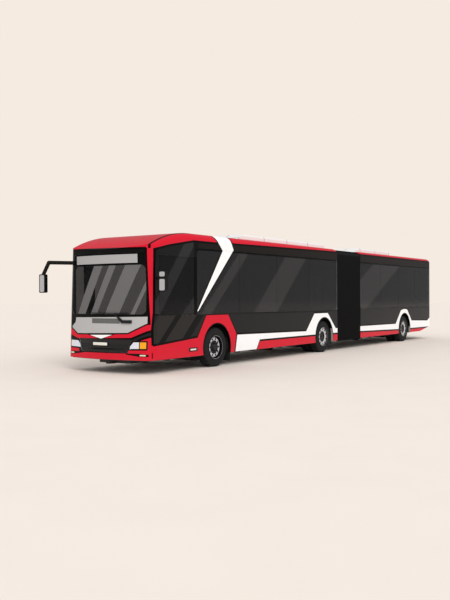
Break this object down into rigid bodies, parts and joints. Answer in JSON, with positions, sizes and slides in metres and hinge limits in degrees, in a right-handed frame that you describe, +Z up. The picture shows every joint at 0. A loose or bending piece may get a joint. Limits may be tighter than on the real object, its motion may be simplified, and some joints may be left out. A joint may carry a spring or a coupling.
{
  "type": "articulated city bus",
  "caption": "Low-floor articulated city bus in red, white and black, with a pleated gangway, a steered front axle, twin-tyred rear axles and swinging double doors.",
  "frame": {"origin": "on the road, under the centre of the whole bus with its mirrors", "axes": "+Z up, +X to the bus's left, -Y towards its nose"},
  "size_m": [3.41, 18.3, 3.3649],
  "materials": {
    "red_paint": "gloss",
    "roof_paint": "gloss",
    "white_paint": "gloss",
    "black_gloss": "gloss",
    "grey_panel": "satin",
    "tinted_glass": "polished",
    "screen_glass": "polished",
    "lamp": "polished",
    "tail_lamp": "polished",
    "black_plastic": "matte",
    "chassis_steel": "satin",
    "axle_iron": "satin",
    "floor_sheet": "matte",
    "gangway_fabric": "matte",
    "seat_fabric": "matte",
    "wheel_silver": "satin",
    "tyre": "matte",
    "turntable_steel": "satin",
    "display": "satin",
    "engine_iron": "satin"
  },
  "bodies": {
    "front_section": {"front_wall_left": "red_paint", "front_wall_right": "red_paint", "front_roof": "roof_paint", "front_mask": "red_paint", "front_grille": "black_gloss", "front_flap": "grey_panel", "windscreen": "screen_glass", "headlamps": "lamp", "destination_display": "display", "wiper": "black_plastic", "mirrors": "black_plastic", "front_side_glass": "tinted_glass", "front_chassis": "chassis_steel", "front_floor": "floor_sheet", "front_wheelhouses": "floor_sheet", "front_cross_members": "chassis_steel", "front_car_axles": "axle_iron", "front_roof_pod": "white_paint", "front_seats": "seat_fabric", "dashboard": "black_plastic", "turntable_base": "turntable_steel", "gangway_bellows": "gangway_fabric"},
    "rear_section": {"rear_wall_left": "red_paint", "rear_wall_right": "red_paint", "rear_roof": "roof_paint", "rear_end": "red_paint", "tail_lamps": "tail_lamp", "engine_hatch": "black_gloss", "rear_glass": "tinted_glass", "rear_chassis": "chassis_steel", "rear_floor": "floor_sheet", "rear_wheelhouses": "floor_sheet", "rear_cross_members": "chassis_steel", "rear_axle": "axle_iron", "engine_block": "engine_iron", "rear_roof_pod": "white_paint", "rear_seats": "seat_fabric", "turntable_top": "turntable_steel"},
    "steer_left": {"knuckle_left": "axle_iron"},
    "steer_right": {"knuckle_right": "axle_iron"},
    "steering_link": {"track_rod": "axle_iron"},
    "wheel_front_left": {"rim_front_left": "wheel_silver", "tyre_front_left": "tyre"},
    "wheel_middle_left": {"rim_middle_left": "wheel_silver", "tyres_middle_left": "tyre"},
    "wheel_rear_left": {"rim_rear_left": "wheel_silver", "tyres_rear_left": "tyre"},
    "wheel_front_right": {"rim_front_right": "wheel_silver", "tyre_front_right": "tyre"},
    "wheel_middle_right": {"rim_middle_right": "wheel_silver", "tyres_middle_right": "tyre"},
    "wheel_rear_right": {"rim_rear_right": "wheel_silver", "tyres_rear_right": "tyre"},
    "door_1_leaf_behind_body": {"door_1_leaf_behind": "black_gloss"},
    "door_1_leaf_ahead_body": {"door_1_leaf_ahead": "black_gloss"},
    "door_2_leaf_behind_body": {"door_2_leaf_behind": "black_gloss"},
    "door_2_leaf_ahead_body": {"door_2_leaf_ahead": "black_gloss"},
    "door_3_leaf_behind_body": {"door_3_leaf_behind": "black_gloss"},
    "door_3_leaf_ahead_body": {"door_3_leaf_ahead": "black_gloss"}
  },
  "joints": [
    {"name": "gangway_turn", "type": "hinge", "parent": "front_section", "child": "rear_section", "pos_m": [0, 1.355, 0.225], "axis": [0, 0, 1], "range_deg": [-50, 50], "deforming": ["gangway_bellows"]},
    {"name": "steer_left_turn", "type": "hinge", "parent": "front_section", "child": "steer_left", "pos_m": [0.9195, -6.15, 0.478], "axis": [0, 0, 1], "range_deg": [-45, 45]},
    {"name": "steer_right_turn", "type": "hinge", "parent": "front_section", "child": "steer_right", "pos_m": [-0.9195, -6.15, 0.478], "axis": [0, 0, 1], "range_deg": [-45, 45]},
    {"name": "steering_link_turn", "type": "hinge", "parent": "steer_left", "child": "steering_link", "pos_m": [0.9195, -5.935, 0.168], "axis": [0, 0, 1], "range_deg": [-45, 45]},
    {"name": "wheel_front_left_roll", "type": "hinge", "parent": "steer_left", "child": "wheel_front_left", "pos_m": [1.0975, -6.15, 0.478], "axis": [1, 0, 0], "continuous": true},
    {"name": "wheel_middle_left_roll", "type": "hinge", "parent": "front_section", "child": "wheel_middle_left", "pos_m": [1.0975, -0.42, 0.478], "axis": [1, 0, 0], "continuous": true},
    {"name": "wheel_rear_left_roll", "type": "hinge", "parent": "rear_section", "child": "wheel_rear_left", "pos_m": [1.0975, 6.22, 0.478], "axis": [1, 0, 0], "continuous": true},
    {"name": "wheel_front_right_roll", "type": "hinge", "parent": "steer_right", "child": "wheel_front_right", "pos_m": [-1.0975, -6.15, 0.478], "axis": [1, 0, 0], "continuous": true},
    {"name": "wheel_middle_right_roll", "type": "hinge", "parent": "front_section", "child": "wheel_middle_right", "pos_m": [-1.0975, -0.42, 0.478], "axis": [1, 0, 0], "continuous": true},
    {"name": "wheel_rear_right_roll", "type": "hinge", "parent": "rear_section", "child": "wheel_rear_right", "pos_m": [-1.0975, 6.22, 0.478], "axis": [1, 0, 0], "continuous": true},
    {"name": "door_1_leaf_behind_swing", "type": "hinge", "parent": "front_section", "child": "door_1_leaf_behind_body", "pos_m": [-1.253, -7.068, 1.4], "axis": [0, 0, 1], "range_deg": [0, 90]},
    {"name": "door_1_leaf_ahead_swing", "type": "hinge", "parent": "front_section", "child": "door_1_leaf_ahead_body", "pos_m": [-1.253, -8.262, 1.4], "axis": [0, 0, 1], "range_deg": [-90, 0]},
    {"name": "door_2_leaf_behind_swing", "type": "hinge", "parent": "front_section", "child": "door_2_leaf_behind_body", "pos_m": [-1.253, -2.688, 1.4], "axis": [0, 0, 1], "range_deg": [0, 90]},
    {"name": "door_2_leaf_ahead_swing", "type": "hinge", "parent": "front_section", "child": "door_2_leaf_ahead_body", "pos_m": [-1.253, -3.882, 1.4], "axis": [0, 0, 1], "range_deg": [-90, 0]},
    {"name": "door_3_leaf_behind_swing", "type": "hinge", "parent": "rear_section", "child": "door_3_leaf_behind_body", "pos_m": [-1.253, 4.372, 1.4], "axis": [0, 0, 1], "range_deg": [0, 90]},
    {"name": "door_3_leaf_ahead_swing", "type": "hinge", "parent": "rear_section", "child": "door_3_leaf_ahead_body", "pos_m": [-1.253, 3.178, 1.4], "axis": [0, 0, 1], "range_deg": [-90, 0]}
  ],
  "couplings": [
    {"joint": "steer_right_turn", "follows": "steer_left_turn", "ratio": 1},
    {"joint": "steering_link_turn", "follows": "steer_left_turn", "ratio": -1},
    {"joint": "door_1_leaf_ahead_swing", "follows": "door_1_leaf_behind_swing", "ratio": -1},
    {"joint": "door_2_leaf_ahead_swing", "follows": "door_2_leaf_behind_swing", "ratio": -1},
    {"joint": "door_3_leaf_ahead_swing", "follows": "door_3_leaf_behind_swing", "ratio": -1}
  ]
}
